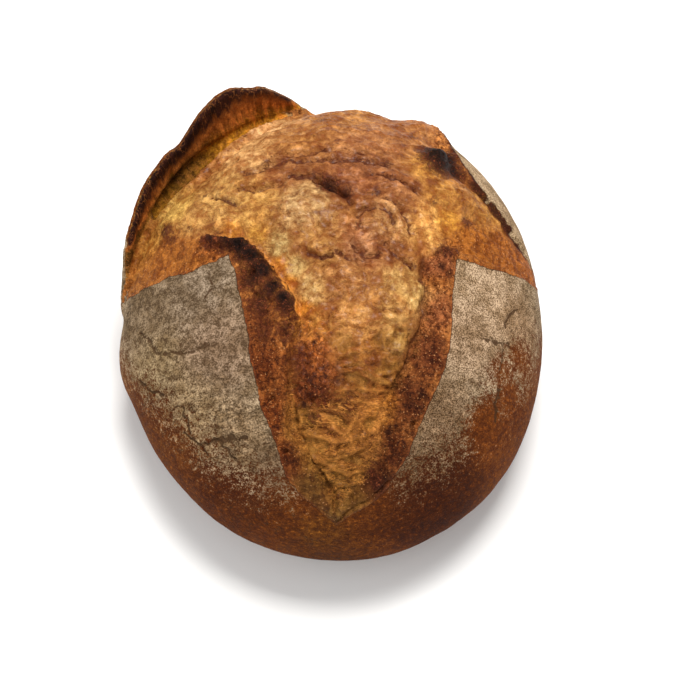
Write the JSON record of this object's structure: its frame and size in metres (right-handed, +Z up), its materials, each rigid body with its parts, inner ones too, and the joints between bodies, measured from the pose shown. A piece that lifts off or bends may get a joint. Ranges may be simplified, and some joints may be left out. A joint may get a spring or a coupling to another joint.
{
  "type": "sourdough loaf",
  "caption": "Round hearth-baked sourdough loaf with a floured crust, scored with a cross, its flaps torn back from a raised golden middle; rests on a flat base",
  "frame": {"origin": "centre of the loaf's box in X and Y, on the flat base that it rests on", "axes": "+Z up; -Y is the front, where the score narrows to a point; +Y the back, with the raised flap at the back left; +X to the right. Y is the longest side and Z the shortest."},
  "size_m": [0.23, 0.2632, 0.113],
  "materials": {
    "crust": "baked bread crust: matt flour dusting on the flaps, a burnt brown torn edge round them, and a golden, slightly glossy blistered middle"
  },
  "bodies": {
    "root": {"loaf": "crust"}
  },
  "joints": []
}
